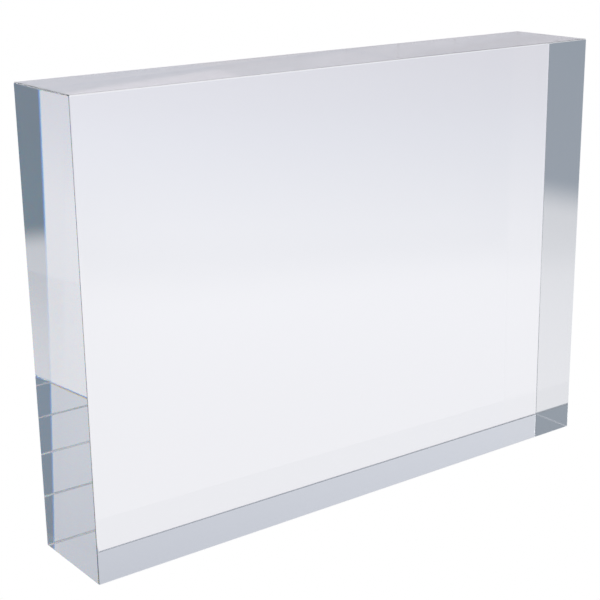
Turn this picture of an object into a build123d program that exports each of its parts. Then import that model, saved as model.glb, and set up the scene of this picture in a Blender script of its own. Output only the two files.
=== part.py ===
# Acrylic block frame for one photo print of 13 by 18 cm, in millimetres.
# It stands on its long edge. +Z is up, +X runs along the width, and the front face looks towards -Y.
# The origin is on the table, at the middle of the footprint.

import os

from build123d import *

# Driving dimensions of the block, one solid piece of clear cast acrylic
block_width = 180.0  # along X, the long side of the print
block_height = 130.0  # along Z, the short side of the print
block_depth = 30.0  # along Y, the thickness of the sheet that the block is cut from
edge_radius = 0.4  # all twelve edges are buffed to this small round

# Driving dimensions of the mounting film, the clear double-sided sheet on the back
film_thickness = 0.1
film_border = 0.6  # bare acrylic that is left between the film and the rounded edge
film_corner_radius = 1.5  # the die-cut sheet has slightly rounded corners

# The block and its film share one centred depth, so the origin is the middle of the whole footprint
overall_depth = block_depth + film_thickness
front_plane = Plane.XZ.offset(overall_depth / 2)
back_plane = front_plane.offset(-block_depth)

# The film keeps the same border inside the rounded edge on all four sides
film_margin = edge_radius + film_border
film_width = block_width - 2 * film_margin
film_height = block_height - 2 * film_margin


# Acrylic block: sawn from thick sheet, milled square, edges eased, every face polished
with BuildPart() as acrylic_block:
    with BuildSketch(front_plane):
        Rectangle(block_width, block_height, align=(Align.CENTER, Align.MIN))
    extrude(amount=-block_depth)
    fillet(acrylic_block.edges(), radius=edge_radius)

acrylic_block.part.label = "acrylic_block"


# Mounting film: bonded to the back face, its outer side takes the print face down
with BuildPart() as mounting_film:
    with BuildSketch(back_plane):
        with Locations((0, block_height / 2)):
            RectangleRounded(film_width, film_height, film_corner_radius)
    extrude(amount=-film_thickness)

mounting_film.part.label = "mounting_film"


os.makedirs("parts", exist_ok=True)
export_step(acrylic_block.part, "parts/acrylic_block.step")
export_step(mounting_film.part, "parts/mounting_film.step")
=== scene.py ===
# %% [markdown]
# # A clear acrylic photo block, and the room that gives it its looks
#
# The object is one thick slab of polished cast acrylic. A photo print is stuck to its back with a
# clear film, and there is no print on it here. Such a block has almost no colour of its own. What
# the eye takes for its surface is the room around it, bent by the faces and mirrored between them:
# the grey strip on the right is the far end of the block mirroring the left of the room, and the
# zigzag at the lower left is the bottom edges, mirrored again and again between front and back.
#
# There are two ways to make this. One is to paint the bands and lines onto the faces. They would
# slide off as soon as the block turns. The other is to leave the faces clear, give the slab its true
# optics, and build the room with care. This lesson takes the second way. The order is the packed
# model, the camera, the room, the table, the finish of the faces and edges, the acrylic, and last
# the film.
#
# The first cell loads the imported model. Every length below is in metres and in the model's own
# frame: +X along the width, +Y from the front face to the back face, +Z up.

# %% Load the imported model
import math

import bmesh
import bpy
from mathutils import Matrix, Vector


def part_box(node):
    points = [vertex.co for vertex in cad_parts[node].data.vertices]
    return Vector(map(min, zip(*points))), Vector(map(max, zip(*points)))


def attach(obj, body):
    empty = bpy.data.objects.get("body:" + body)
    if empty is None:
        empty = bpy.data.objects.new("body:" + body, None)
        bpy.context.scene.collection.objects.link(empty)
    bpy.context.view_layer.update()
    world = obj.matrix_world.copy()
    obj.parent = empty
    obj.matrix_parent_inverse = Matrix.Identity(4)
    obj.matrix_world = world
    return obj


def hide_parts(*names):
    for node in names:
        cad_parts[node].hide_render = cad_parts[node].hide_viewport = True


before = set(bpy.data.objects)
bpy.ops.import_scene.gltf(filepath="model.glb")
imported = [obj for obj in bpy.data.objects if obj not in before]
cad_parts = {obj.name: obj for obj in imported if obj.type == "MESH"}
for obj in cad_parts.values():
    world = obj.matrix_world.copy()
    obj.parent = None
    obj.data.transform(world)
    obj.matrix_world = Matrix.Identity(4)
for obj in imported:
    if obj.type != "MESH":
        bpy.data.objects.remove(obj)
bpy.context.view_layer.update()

MM = 0.001
scene = bpy.context.scene
block_low, block_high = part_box("acrylic_block")
film_low, film_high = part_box("mounting_film")
print("block in mm:", [round(side / MM, 2) for side in block_high - block_low])
print("film in mm:", [round(side / MM, 2) for side in film_high - film_low])

# %% [markdown]
# ## The camera
#
# The photograph looks at the block from its front left, a little from above, through a long lens.
# A camera can be placed by eye, or from measured facts. Here the facts are few: where it stands,
# which way it looks, how long the lens is, and how far the picture was cropped off its middle. They
# were found by fitting the outline of the block and the lines seen inside it. The lines inside are
# the stricter test, because a small error of angle moves them a lot.
#
# The crop is a shift of the lens. A larger one would fit the lower right corner better still, by
# less than a pixel. A small one is kept, because it also moves the block in every other view.

# %% Place the camera
camera_place = Vector((-0.2447, -0.3146, 0.1795))
camera_heading = math.radians(37.33)  # clockwise from +Y, seen from above
camera_tilt = math.radians(17.62)  # downwards
camera_roll = math.radians(-0.49)
lens_mm = 83.8
lens_shift = (-0.03, 0.03)  # to the left and up, in widths of the picture
sensor_mm = 36.0
nearest_seen, farthest_seen = 0.01, 50.0

camera_data = bpy.data.cameras.new("camera")
camera_data.lens = lens_mm
camera_data.sensor_width = sensor_mm
camera_data.shift_x, camera_data.shift_y = lens_shift
camera_data.clip_start = nearest_seen
camera_data.clip_end = farthest_seen
camera = bpy.data.objects.new("camera", camera_data)
scene.collection.objects.link(camera)
camera.matrix_world = (
    Matrix.Translation(camera_place)
    @ Matrix.Rotation(-camera_heading, 4, "Z")
    @ Matrix.Rotation(math.pi / 2 - camera_tilt, 4, "X")
    @ Matrix.Rotation(camera_roll, 4, "Z")
)
scene.camera = camera
block_middle = (block_low + block_high) / 2
print("camera to block in mm:", round((camera_place - block_middle).length / MM))

# %% [markdown]
# ## Tone and bounces
#
# The photograph is a plain product shot on pure white, so the Standard view transform keeps white
# as white. A ray may be mirrored many times inside the block before it gets out, and one that runs
# out of bounces is black. So the limits are set well above the usual twelve.

# %% Set tone and bounces
ray_bounces = 32
diffuse_bounces = 4
scene.view_settings.view_transform = "Standard"
scene.cycles.max_bounces = ray_bounces
scene.cycles.transmission_bounces = ray_bounces
scene.cycles.glossy_bounces = ray_bounces
scene.cycles.transparent_max_bounces = ray_bounces
scene.cycles.diffuse_bounces = diffuse_bounces
print("bounces allowed inside the block:", scene.cycles.transmission_bounces)

# %% [markdown]
# ## Small helpers for shader nodes
#
# A node tree made in code is easier to read when adding and linking are one call. These helpers
# take either a plain value or another node's output for every input.


# %% Node helpers
def feed(tree, socket, value):
    """Link an output to this input, or set a plain value on it."""
    if isinstance(value, bpy.types.NodeSocket):
        tree.links.new(value, socket)
    elif socket.type == "RGBA" and len(value) == 3:
        socket.default_value = (*value, 1.0)
    else:
        socket.default_value = value


def add_node(tree, kind, inputs=None, **settings):
    """Add a node with its settings, and feed its inputs by name or by number."""
    made = tree.nodes.new(kind)
    for name, value in settings.items():
        setattr(made, name, value)
    for name, value in (inputs or {}).items():
        feed(tree, made.inputs[name], value)
    return made


def maths(tree, operation, a, b=0.0):
    return add_node(tree, "ShaderNodeMath", {0: a, 1: b}, operation=operation).outputs[0]


def along(tree, vector, direction):
    """How far a vector reaches along a direction."""
    made = add_node(tree, "ShaderNodeVectorMath", {0: vector, 1: direction}, operation="DOT_PRODUCT")
    return made.outputs["Value"]


def step_up(tree, value, start, end, low=0.0, high=1.0):
    """Turn smoothly from low to high as the value goes from start to end."""
    made = add_node(
        tree,
        "ShaderNodeMapRange",
        {"Value": value, "From Min": start, "From Max": end, "To Min": low, "To Max": high},
        interpolation_type="SMOOTHSTEP",
    )
    return made.outputs["Result"]


def between(tree, value, low, high, blur):
    """One between low and high, nothing outside, with blurred ends."""
    past_low = step_up(tree, value, low - blur, low + blur)
    past_high = step_up(tree, value, high - blur, high + blur)
    return maths(tree, "SUBTRACT", past_low, past_high)


# %% [markdown]
# Colours need three helpers more: to blend two of them, to make one brighter or darker, and to pick
# one from a row of stops, which is how the light of a wall or a table is written down below. A new
# ramp already has a stop at each end, so only those between are added.


# %% Colour helpers
def blend_colours(tree, factor, a, b):
    made = tree.nodes.new("ShaderNodeMix")
    made.data_type = "RGBA"
    for name, value in (("Factor", factor), ("A", a), ("B", b)):
        feed(tree, next(s for s in made.inputs if s.name == name and s.enabled), value)
    return next(s for s in made.outputs if s.enabled)


def scale_colour(tree, colour, amount):
    made = add_node(tree, "ShaderNodeVectorMath", {0: colour}, operation="SCALE")
    feed(tree, made.inputs["Scale"], amount)
    return made.outputs[0]


def colour_ramp(tree, value, stops):
    """A colour for each value: stops are pairs of a value and a colour, from low to high."""
    start, end = stops[0][0], stops[-1][0]
    share = maths(tree, "DIVIDE", maths(tree, "SUBTRACT", value, start), end - start)
    made = add_node(tree, "ShaderNodeValToRGB", {"Fac": share})
    elements = made.color_ramp.elements
    for place, _ in stops[1:-1]:
        elements.new((place - start) / (end - start))
    for element, (_, colour) in zip(elements, stops):
        element.color = (*colour, 1.0)
    return made.outputs["Color"]


# %% [markdown]
# ## The room
#
# In the studio, a white table runs back to a pale backdrop, which is brighter at its foot. The wall
# to the left is grey, the wall to the right is darker, and the wall behind the camera is dark too.
# All of them are brighter near the table, because it lights them. The ceiling is grey, with a darker
# stretch above the right end of the backdrop.
#
# All of it shows in the block, and none of it shows beside it, because the photograph is cut out on
# white. So the world has two faces: plain white for the camera's own rays, and the room for every
# ray that has touched the block. The room could be built from boxes with lamps. A colour for each
# direction is simpler, has no noise, and can be set band by band while looking at one facet after
# another.
#
# Two angles name a direction: its bearing, clockwise from nearly the way the camera looks, and its
# height above the horizon.

# %% The two angles of a direction
room_heading = math.radians(36.45)  # nearly the camera's own, because the backdrop faces it
forward = Vector((math.sin(room_heading), math.cos(room_heading), 0.0))
rightward = Vector((math.cos(room_heading), -math.sin(room_heading), 0.0))
upward = Vector((0.0, 0.0, 1.0))
DEGREES = 180.0 / math.pi

world = bpy.data.worlds.new("studio")
scene.world = world
world.use_nodes = True
tree = world.node_tree
tree.nodes.clear()
direction = add_node(tree, "ShaderNodeTexCoord").outputs["Generated"]
ahead = along(tree, direction, forward)
aside = along(tree, direction, rightward)
height = maths(tree, "MULTIPLY", maths(tree, "ARCSINE", along(tree, direction, upward)), DEGREES)
bearing = maths(tree, "MULTIPLY", maths(tree, "ARCTAN2", aside, ahead), DEGREES)
camera_turn = math.degrees(camera_heading - room_heading)
print("the camera looks right of the middle of the room by degrees:", round(camera_turn, 2))

# %% Walls, by bearing in degrees
DARK_WALL = (0.20, 0.215, 0.24)
LEFT_WALL = (0.26, 0.297, 0.343)
RIGHT_WALL = (0.14, 0.205, 0.28)

walls = colour_ramp(
    tree,
    bearing,
    (
        (-180, DARK_WALL),
        (-140, DARK_WALL),
        (-110, LEFT_WALL),
        (-20, LEFT_WALL),
        (30, RIGHT_WALL),
        (125, RIGHT_WALL),
        (150, DARK_WALL),
        (180, DARK_WALL),
    ),
)
print("left wall against right wall:", round(sum(LEFT_WALL) / sum(RIGHT_WALL), 2))

# %% The walls are brighter near the table
wall_low, wall_high = 17.0, 30.0
wall_foot, wall_head = 1.16, 0.82
walls = scale_colour(tree, walls, step_up(tree, height, wall_low, wall_high, wall_foot, wall_head))
print("walls below against above:", round(wall_foot / wall_head, 2))

# %% Backdrop colours, by height in degrees
backdrop = colour_ramp(
    tree,
    height,
    (
        (-10, (0.785, 0.785, 0.85)),
        (7, (0.765, 0.742, 0.802)),
        (16, (0.69, 0.71, 0.765)),
        (22, (0.665, 0.69, 0.75)),
        (27, (0.585, 0.61, 0.675)),
        (36, (0.38, 0.40, 0.45)),
        (44, (0.27, 0.285, 0.32)),
    ),
)

# %% Edges of the backdrop
backdrop_left, backdrop_right = -36.0, 26.0
backdrop_blur = 7.0
backdrop_top, backdrop_end = 48.0, 57.0
below_top = step_up(tree, height, backdrop_top, backdrop_end, 1.0, 0.0)
across_backdrop = between(tree, bearing, backdrop_left, backdrop_right, backdrop_blur)
on_backdrop = maths(tree, "MULTIPLY", across_backdrop, below_top)
print("backdrop in degrees, across and up:", backdrop_right - backdrop_left, backdrop_top)

# %% The foot of the backdrop is brighter to the left
lean_start, lean_end = -14.0, 14.0
lean_left, lean_right = 1.07, 0.91
lean_full, lean_gone = 10.0, 18.0
lean = step_up(tree, bearing, lean_start, lean_end, lean_left, lean_right)
higher_up = step_up(tree, height, lean_full, lean_gone)
lean_share = add_node(tree, "ShaderNodeMix", {"Factor": higher_up, "A": lean, "B": 1.0}).outputs[0]
backdrop = scale_colour(tree, backdrop, lean_share)

# %% Ceiling, by bearing in degrees
CEILING = (0.48, 0.51, 0.57)
DARK_CEILING = (0.25, 0.27, 0.31)
ceiling_start, ceiling_full = 32.0, 52.0
ceiling = colour_ramp(
    tree,
    bearing,
    (
        (-180, CEILING),
        (-8, CEILING),
        (14, DARK_CEILING),
        (38, DARK_CEILING),
        (58, CEILING),
        (180, CEILING),
    ),
)
room = blend_colours(tree, step_up(tree, height, ceiling_start, ceiling_full), walls, ceiling)
room = blend_colours(tree, on_backdrop, room, backdrop)
print("ceiling against its dark stretch:", round(sum(CEILING) / sum(DARK_CEILING), 2))

# %% [markdown]
# Three bright things are left: a lamp overhead, and a softbox and a white card to the left. None of
# them shows as a shape of its own. The lamp and the softbox brighten the thin lines along the edges
# and in the zigzag, and the card is a faint sheen on the left end. The softbox and the card are both
# plain rectangles, so one helper hangs them.

# %% Lamp overhead
LAMP = (1.42, 1.5, 1.62)
lamp_start, lamp_full = 66.0, 72.0
room = blend_colours(tree, step_up(tree, height, lamp_start, lamp_full), room, LAMP)
straight_up = 90.0
print("lamp within this many degrees of straight up:", straight_up - lamp_start)


# %% Softbox to the left
def hang(tree, room, colour, sides, heights, blur):
    """Hang a rectangle in the room, between two bearings and between two heights."""
    across_it = between(tree, bearing, *sides, blur)
    up_it = between(tree, height, *heights, blur)
    print("hung, in degrees across and up:", sides[1] - sides[0], heights[1] - heights[0])
    return blend_colours(tree, maths(tree, "MULTIPLY", across_it, up_it), room, colour)


SOFTBOX = (4.8, 4.9, 5.1)
softbox_sides = (-53.0, -33.0)
softbox_heights = (21.0, 30.0)
softbox_blur = 2.0
room = hang(tree, room, SOFTBOX, softbox_sides, softbox_heights, softbox_blur)

# %% White card to the left
CARD = (0.62, 0.64, 0.68)
card_sides = (-74.0, -50.0)
card_heights = (11.0, 19.0)
card_blur = 1.5
room = hang(tree, room, CARD, card_sides, card_heights, card_blur)

# %% White for the camera, the room for the block
PAPER_WHITE = (1.0, 1.0, 1.0)
first_seen = add_node(tree, "ShaderNodeLightPath").outputs["Is Camera Ray"]
shown = blend_colours(tree, first_seen, room, PAPER_WHITE)
sky = add_node(tree, "ShaderNodeBackground", {"Color": shown})
add_node(tree, "ShaderNodeOutputWorld", {"Surface": sky.outputs[0]})
print("room made of", len(tree.nodes), "nodes")

# %% [markdown]
# ## The table
#
# The block stands on a white table with a soft pool of light on it, brightest about 300 mm behind
# the block. Most of the front face is this table, seen straight through the slab. Its left and
# right edges show in the end strips, where their dark upper part turns into the bright lower one.
# The table is slightly glossy, so it looks brighter towards the pale backdrop than towards the dark
# sides.
#
# A lit white sheet would do, but its light would arrive through the block as noise. The table
# gives its own light instead, from a map of the light that falls on it. The gloss stays a real
# mirror, mixed in by the Fresnel law.

# %% Table plane
table_gap = 0.2 * MM  # a little air stays under the base, so its underside mirrors as an end does
table_size = 12.0
bpy.ops.mesh.primitive_plane_add(size=table_size, location=(0, 0, -table_gap))
table = bpy.context.object
table.name = "table"
print("table side in metres:", table.dimensions.x)


# %% Table material and its two directions
def new_material(name):
    material = bpy.data.materials.new(name)
    material.use_nodes = True
    material.node_tree.nodes.clear()
    return material, material.node_tree


table_material, tree = new_material("table")
table.data.materials.append(table_material)
place = add_node(tree, "ShaderNodeNewGeometry").outputs["Position"]
behind = along(tree, place, forward)
across = along(tree, place, rightward)

# %% Pool of light on the table, by metres behind the block
near_tint = (1.0, 0.995, 1.025)
far_tint = (0.98, 1.0, 1.07)
pool = colour_ramp(
    tree,
    behind,
    (
        (-0.60, (0.55, 0.55, 0.55)),
        (-0.10, (0.93, 0.93, 0.93)),
        (0.05, (0.945, 0.945, 0.945)),
        (0.10, (0.96, 0.96, 0.96)),
        (0.18, (0.995, 0.995, 0.995)),
        (0.26, (1.01, 1.01, 1.01)),
        (0.34, (1.015, 1.015, 1.015)),
        (0.55, (0.945, 0.945, 0.945)),
        (0.75, (0.885, 0.885, 0.885)),
        (1.00, (0.85, 0.845, 0.85)),
    ),
)
far_start, far_full = 0.2, 0.7
tint = blend_colours(tree, step_up(tree, behind, far_start, far_full), near_tint, far_tint)
print("tint far behind against near:", [round(far / near, 3) for far, near in zip(far_tint, near_tint)])

# %% The pool is a little darker to the sides, but not far behind
side_depth = 0.095
side_start, side_full = 0.06, 0.24
open_start, open_full = 0.25, 0.60
off_middle = step_up(tree, maths(tree, "ABSOLUTE", across), side_start, side_full)
depth_here = step_up(tree, behind, open_start, open_full, side_depth, 0.0)
side_fall = maths(tree, "MULTIPLY", off_middle, depth_here)
lit = maths(tree, "MULTIPLY", pool, maths(tree, "SUBTRACT", 1.0, side_fall))
print("light left at the sides of the pool:", round(1.0 - side_depth, 3))

# %% [markdown]
# Under the block the table is a little darker, because its light has to come through the slab. The
# shade is a short falloff with the distance from the footprint, so it ends right at the edges. It
# shows in the top face, which looks down through the block onto this very patch.

# %% Shade where the block stands
shade_depth = 0.18
shade_reach = 0.4 * MM
half_block = (block_high - block_low) / 2
place_parts = add_node(tree, "ShaderNodeSeparateXYZ", {0: place}).outputs
outside = []
for axis, half in (("X", half_block.x), ("Y", half_block.y)):
    past = maths(tree, "SUBTRACT", maths(tree, "ABSOLUTE", place_parts[axis]), half)
    outside.append(maths(tree, "POWER", maths(tree, "MAXIMUM", past, 0.0), 2.0))
away = maths(tree, "SQRT", maths(tree, "ADD", outside[0], outside[1]))
shade = maths(tree, "EXPONENT", maths(tree, "DIVIDE", away, -shade_reach))
unshaded = maths(tree, "SUBTRACT", 1.0, maths(tree, "MULTIPLY", shade, shade_depth))
table_colour = scale_colour(tree, tint, maths(tree, "MULTIPLY", lit, unshaded))
print("light left under the block:", round(1.0 - shade_depth, 3))

# %% [markdown]
# The left and right edges of the table run apart towards the backdrop. Beyond them is a darker
# floor, blue-grey to the left and darker still to the right, where it gets paler further out.

# %% Floor beyond the two edges of the table
# Painted light, like the pool: these colours are the glow of a darker floor in dimmer light.
LEFT_FLOOR = (0.322, 0.356, 0.41)
RIGHT_FLOOR = (0.096, 0.16, 0.205)
RIGHT_FAR = (0.178, 0.206, 0.238)
edge_slope = 0.6
slope_end = -0.15
left_edge, left_blur = -0.226, 0.05
right_edge, right_blur = 0.288, 0.035
far_floor_start, far_floor_full = 0.35, 0.85
spread = maths(tree, "MULTIPLY", maths(tree, "MAXIMUM", behind, slope_end), edge_slope)
over_left = maths(tree, "ADD", across, spread)
over_right = maths(tree, "SUBTRACT", across, spread)
inside_left = step_up(tree, over_left, left_edge - left_blur, left_edge + left_blur)
table_colour = blend_colours(tree, inside_left, LEFT_FLOOR, table_colour)
far_right = step_up(tree, over_right, far_floor_start, far_floor_full)
right_floor = blend_colours(tree, far_right, RIGHT_FLOOR, RIGHT_FAR)
outside_right = step_up(tree, over_right, right_edge - right_blur, right_edge + right_blur)
table_colour = blend_colours(tree, outside_right, table_colour, right_floor)
print("table at the block, from edge to edge in mm:", round((right_edge - left_edge) / MM))

# %% Gloss of the table, and white paper for the camera
gloss_ior = 1.9
glow = add_node(tree, "ShaderNodeEmission", {"Color": table_colour}).outputs[0]
mirror = add_node(tree, "ShaderNodeBsdfGlossy", {"Color": PAPER_WHITE, "Roughness": 0.0}).outputs[0]
gloss = add_node(tree, "ShaderNodeFresnel", {"IOR": gloss_ior}).outputs[0]
lit_table = add_node(tree, "ShaderNodeMixShader", {0: gloss, 1: glow, 2: mirror}).outputs[0]
paper = add_node(tree, "ShaderNodeEmission", {"Color": PAPER_WHITE}).outputs[0]
first_seen = add_node(tree, "ShaderNodeLightPath").outputs["Is Camera Ray"]
shown = add_node(tree, "ShaderNodeMixShader", {0: first_seen, 1: lit_table, 2: paper})
add_node(tree, "ShaderNodeOutputMaterial", {"Surface": shown.outputs[0]})
print("table made of", len(tree.nodes), "nodes")

# %% [markdown]
# ## Which face is which
#
# The two big faces come smooth from the casting. The ends, the top and the base are sawn, milled and
# polished. The twelve edges are buffed to a small round. Each round is a tiny lens that squeezes a
# whole fan of the room into two pixels, and that is why the edges show as thin grey lines. The
# rounds are in the model already, so no lines are drawn here.
#
# A face could get its finish by a material slot of its own, but the model's mesh stays as it is. Its
# direction says as much: a flat face looks straight along one axis, and a round looks between two.
# The group below turns that into two masks, one for the rounds and one for the two ends.

# %% Face mask group
flat_least = 0.9995  # a flat face has at least this much of its direction along one axis
face_masks = bpy.data.node_groups.new("face_masks", "ShaderNodeTree")
for name in ("Rounds", "Ends"):
    face_masks.interface.new_socket(name, in_out="OUTPUT", socket_type="NodeSocketFloat")
facing = add_node(face_masks, "ShaderNodeNewGeometry").outputs["True Normal"]
facing_parts = add_node(face_masks, "ShaderNodeSeparateXYZ", {0: facing}).outputs
reach = {axis: maths(face_masks, "ABSOLUTE", facing_parts[axis]) for axis in "XYZ"}
largest = maths(face_masks, "MAXIMUM", maths(face_masks, "MAXIMUM", reach["X"], reach["Y"]), reach["Z"])
rounds = maths(face_masks, "LESS_THAN", largest, flat_least)
ends = maths(face_masks, "GREATER_THAN", reach["X"], flat_least)
add_node(face_masks, "NodeGroupOutput", {"Rounds": rounds, "Ends": ends})

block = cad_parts["acrylic_block"]
round_area = sum(f.area for f in block.data.polygons if max(abs(part) for part in f.normal) < flat_least)
print("area of the rounds in square mm:", round(round_area / MM**2))

# %% [markdown]
# ## Marks in the surface
#
# No polished face is perfectly flat. Cast sheet has a long, shallow ripple. Milled and polished
# sides keep faint lines along their length, where the cutter and the buffing wheel went. And a
# block that has been wiped with a cloth has faint smears. All three are far too weak to see head
# on. They show only where a reflection grazes the face, as a slight wobble or a softer patch.
#
# They could be carved into the mesh, but a ripple of a few thousandths of a millimetre is work for a
# bump. Both the acrylic and the film have such marks, so they are one group, with heights of their
# own in each material. Noise that is stretched along X and Z gives lines that run the long way on
# every narrow side, because only the depth, Y, is left fine.

# %% Surface mark group
marks = bpy.data.node_groups.new("surface_marks", "ShaderNodeTree")
for name in ("Ripple Size", "Ripple Height", "Line Size", "Line Height"):
    marks.interface.new_socket(name, in_out="INPUT", socket_type="NodeSocketFloat")
for name in ("Height", "Smears"):
    marks.interface.new_socket(name, in_out="OUTPUT", socket_type="NodeSocketFloat")
given = add_node(marks, "NodeGroupInput").outputs
spot = add_node(marks, "ShaderNodeTexCoord").outputs["Object"]

# %% Ripple and polishing lines
line_stretch = 40.0
ripple_detail, line_detail = 1.0, 2.0
squeeze = (1.0 / line_stretch, 1.0, 1.0 / line_stretch)
drawn_out = add_node(marks, "ShaderNodeVectorMath", {0: spot, 1: squeeze}, operation="MULTIPLY").outputs[0]


def noise(where, size, detail):
    """Soft random heights from 0 to 1, whose coarsest bumps are about this size."""
    scale = maths(marks, "DIVIDE", 1.0, size)
    inputs = {"Vector": where, "Scale": scale, "Detail": detail}
    return add_node(marks, "ShaderNodeTexNoise", inputs).outputs["Fac"]


ripple = noise(spot, given["Ripple Size"], ripple_detail)
lines = noise(drawn_out, given["Line Size"], line_detail)
ripple_height = maths(marks, "MULTIPLY", ripple, given["Ripple Height"])
line_height = maths(marks, "MULTIPLY", lines, given["Line Height"])
mark_height = maths(marks, "ADD", ripple_height, line_height)
print("polishing lines drawn out this many times:", line_stretch)

# %% Smears from a cloth
wipe_tilt = (0.35, 0.9, -0.6)
wipe_scale = (14.0, 60.0, 90.0)
wipe_detail, wipe_distortion = 3.0, 0.6
smear_start, smear_full = 0.56, 0.78
turned = add_node(
    marks,
    "ShaderNodeMapping",
    {"Vector": spot, "Rotation": wipe_tilt, "Scale": wipe_scale},
).outputs[0]
wipes = add_node(
    marks,
    "ShaderNodeTexNoise",
    {"Vector": turned, "Scale": 1.0, "Detail": wipe_detail, "Distortion": wipe_distortion},
)
smears = step_up(marks, wipes.outputs["Fac"], smear_start, smear_full)
add_node(marks, "NodeGroupOutput", {"Height": mark_height, "Smears": smears})
print("surface marks made of", len(marks.nodes), "nodes")

# %% [markdown]
# ## The acrylic
#
# Polished acrylic lets nearly all light through, bends it by 1.49, and mirrors about four hundredths
# of it head on and all of it at a low angle from inside. The Principled shader does all of that. A
# faint blue-grey comes with depth: a ray that is mirrored along the whole slab goes through more
# than 200 mm of acrylic. A tint on the surface would be as strong in a thin piece, so the tint is a
# volume absorption, which grows with the length of the path.


# %% Clear body
def head_on(ior):
    """The share of the light that a face mirrors head on."""
    return ((ior - 1.0) / (ior + 1.0)) ** 2


acrylic_ior = 1.49
body_tint = (0.74, 0.755, 0.78)
body_density = 1.9  # how much is taken from each metre of path, for a black tint
acrylic_material, tree = new_material("polished_acrylic")
body = add_node(tree, "ShaderNodeVolumeAbsorption", {"Color": body_tint, "Density": body_density})
long_path = block_high.x - block_low.x
kept = [math.exp(-body_density * (1 - part) * long_path) for part in body_tint]
print("light left after the whole width:", [round(part, 3) for part in kept])
print("mirrored head on:", round(head_on(acrylic_ior), 4))

# %% Finish of its faces and edges
edge_roughness = 0.22
smear_roughness = 0.03
masks = add_node(tree, "ShaderNodeGroup", node_tree=face_masks).outputs
face_marks = add_node(
    tree,
    "ShaderNodeGroup",
    {
        "Ripple Size": 30 * MM,
        "Ripple Height": 0.006 * MM,
        "Line Size": 1.6 * MM,
        "Line Height": 0.0008 * MM,
    },
    node_tree=marks,
).outputs
marked = add_node(tree, "ShaderNodeBump", {"Height": face_marks["Height"], "Distance": 1.0}).outputs[0]
roughness = maths(
    tree,
    "ADD",
    maths(tree, "MULTIPLY", masks["Rounds"], edge_roughness),
    maths(tree, "MULTIPLY", face_marks["Smears"], smear_roughness),
)
clear = add_node(
    tree,
    "ShaderNodeBsdfPrincipled",
    {
        "Base Color": PAPER_WHITE,
        "IOR": acrylic_ior,
        "Transmission Weight": 1.0,
        "Roughness": roughness,
        "Normal": marked,
    },
).outputs[0]
print("roughness of a round and of a smear:", edge_roughness, smear_roughness)

# %% [markdown]
# ## Colour fringes in the ends
#
# Acrylic bends blue light a little more than red. Through the big faces this can't be seen, because
# the front and the back undo each other. Through an end it can: the lines inside are two hundred
# millimetres of slanting path away, and each one has a thin blue fringe.
#
# Following every colour through every bounce would need many more samples. The first bend decides
# which of the lines inside a ray meets, so only that one is split. On the ends, and only for the
# camera's own rays, three coloured glasses with slightly different bends are added together. Their
# sum is clear, so nothing is tinted but the edges of things.

# %% Split the first bend on the ends
green_band, green_ior = (0.15, 0.65, 0.20), 1.490
red_band, red_ior = (0.80, 0.20, 0.05), 1.4878
blue_band, blue_ior = (0.05, 0.15, 0.75), 1.4955


def band_glass(band, ior):
    """Clear glass for one band of colours, with its own bend."""
    inputs = {"Color": band, "Roughness": 0.0, "IOR": ior, "Normal": marked}
    return add_node(tree, "ShaderNodeBsdfGlass", inputs).outputs[0]


fringed = band_glass(green_band, green_ior)
for band, ior in ((red_band, red_ior), (blue_band, blue_ior)):
    fringed = add_node(tree, "ShaderNodeAddShader", {0: fringed, 1: band_glass(band, ior)}).outputs[0]
first_seen = add_node(tree, "ShaderNodeLightPath").outputs["Is Camera Ray"]
by_face = add_node(tree, "ShaderNodeMixShader", {0: masks["Ends"], 1: clear, 2: fringed}).outputs[0]
acrylic = add_node(tree, "ShaderNodeMixShader", {0: first_seen, 1: clear, 2: by_face}).outputs[0]
add_node(tree, "ShaderNodeOutputMaterial", {"Surface": acrylic, "Volume": body.outputs[0]})
block.data.materials.clear()
block.data.materials.append(acrylic_material)
print("acrylic made of", len(tree.nodes), "nodes, on", len(block.data.polygons), "faces")

# %% [markdown]
# ## The mounting film
#
# The film is a clear sheet, a tenth of a millimetre thick, with adhesive on both sides. It is die
# cut, so its corners are slightly round, and a narrow border of bare acrylic stays around it. Where
# it is bonded, light passes between acrylic and film as if there were no surface at all. A second
# glass solid there would add reflections that the real block doesn't have, and would spoil the
# mirror images inside. So the film is transparent for everything but the camera. Seen from behind,
# its outer side has the weak, slightly wavy gloss of adhesive, and its cut rim is a trace milky,
# because adhesive picks up dust there first.
#
# The sheet is built as a closed outline that is given its thickness, with a hair of space before
# the acrylic so that the two surfaces never lie in one plane.

# %% Film sheet mesh
corner_radius = 1.5 * MM
corner_steps = 8
glue_gap = 0.01 * MM


def rounded_outline(low, high, radius, steps):
    """Corner arcs of a rectangle in X and Z, anticlockwise as seen from the front."""
    middles = (
        (high.x - radius, low.z + radius, -90),
        (high.x - radius, high.z - radius, 0),
        (low.x + radius, high.z - radius, 90),
        (low.x + radius, low.z + radius, 180),
    )
    points = []
    for x, z, start in middles:
        for step in range(steps + 1):
            turn = math.radians(start + 90 * step / steps)
            points.append((x + radius * math.cos(turn), z + radius * math.sin(turn)))
    return points


def sheet_piece(name, outline, front, back):
    """A closed flat sheet between two depths."""
    mesh = bpy.data.meshes.new(name)
    shape = bmesh.new()
    face = shape.faces.new([shape.verts.new((x, front, z)) for x, z in outline])
    grown = bmesh.ops.extrude_face_region(shape, geom=[face])
    moved = [v for v in grown["geom"] if isinstance(v, bmesh.types.BMVert)]
    bmesh.ops.translate(shape, verts=moved, vec=(0, back - front, 0))
    bmesh.ops.recalc_face_normals(shape, faces=shape.faces)
    shape.to_mesh(mesh)
    shape.free()
    piece = bpy.data.objects.new(name, mesh)
    scene.collection.objects.link(piece)
    return piece


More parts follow.
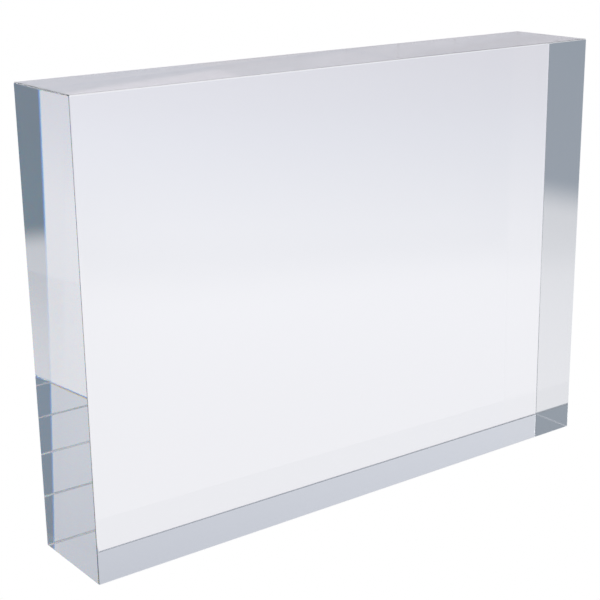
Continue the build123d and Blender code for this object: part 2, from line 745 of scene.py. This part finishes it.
outline = rounded_outline(film_low, film_high, corner_radius, corner_steps)
film = sheet_piece("film_sheet", outline, film_low.y + glue_gap, film_high.y)
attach(film, "root")
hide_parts("mounting_film")
print("film sheet:", len(film.data.polygons), "faces")

# %% Film finish
film_ior = 1.47
film_roughness = 0.06
film_haze = 0.02
film_material, tree = new_material("adhesive_film")
film_marks = add_node(
    tree,
    "ShaderNodeGroup",
    {
        "Ripple Size": 7 * MM,
        "Ripple Height": 0.02 * MM,
        "Line Size": 3 * MM,
        "Line Height": 0.0,
    },
    node_tree=marks,
).outputs
wavy = add_node(tree, "ShaderNodeBump", {"Height": film_marks["Height"], "Distance": 1.0}).outputs[0]
print("gloss of the film head on:", round(head_on(film_ior), 4))

# %% Rim of the film
rim_width = 0.6 * MM
rim_haze = 0.3
film_middle = (film_low + film_high) / 2
film_half = (film_high - film_low) / 2
film_spot = add_node(tree, "ShaderNodeTexCoord").outputs["Object"]
on_film = add_node(tree, "ShaderNodeSeparateXYZ", {0: film_spot}).outputs
from_edges = []
for axis, middle, half in (("X", film_middle.x, film_half.x), ("Z", film_middle.z, film_half.z)):
    from_middle = maths(tree, "ABSOLUTE", maths(tree, "SUBTRACT", on_film[axis], middle))
    from_edges.append(maths(tree, "SUBTRACT", half, from_middle))
rim = step_up(tree, maths(tree, "MINIMUM", from_edges[0], from_edges[1]), 0.0, rim_width, rim_haze, 0.0)
haze_share = maths(tree, "ADD", maths(tree, "MULTIPLY", film_marks["Smears"], film_haze), rim)
print("milky rim in mm:", round(rim_width / MM, 2))

# %% Clear, with weak gloss and haze on its outer side
nothing = add_node(tree, "ShaderNodeBsdfTransparent").outputs[0]
milk = add_node(tree, "ShaderNodeBsdfDiffuse", {"Color": PAPER_WHITE}).outputs[0]
shine = add_node(tree, "ShaderNodeBsdfGlossy", {"Roughness": film_roughness, "Normal": wavy}).outputs[0]
shine_share = add_node(tree, "ShaderNodeFresnel", {"IOR": film_ior, "Normal": wavy}).outputs[0]
hazy = add_node(tree, "ShaderNodeMixShader", {0: haze_share, 1: nothing, 2: milk}).outputs[0]
glossy = add_node(tree, "ShaderNodeMixShader", {0: shine_share, 1: hazy, 2: shine}).outputs[0]
from_inside = add_node(tree, "ShaderNodeNewGeometry").outputs["Backfacing"]
outer_side = add_node(tree, "ShaderNodeMixShader", {0: from_inside, 1: glossy, 2: nothing}).outputs[0]
first_seen = add_node(tree, "ShaderNodeLightPath").outputs["Is Camera Ray"]
seen = add_node(tree, "ShaderNodeMixShader", {0: first_seen, 1: nothing, 2: outer_side}).outputs[0]
add_node(tree, "ShaderNodeOutputMaterial", {"Surface": seen})
film.data.materials.append(film_material)
print("film finish made of", len(tree.nodes), "nodes")
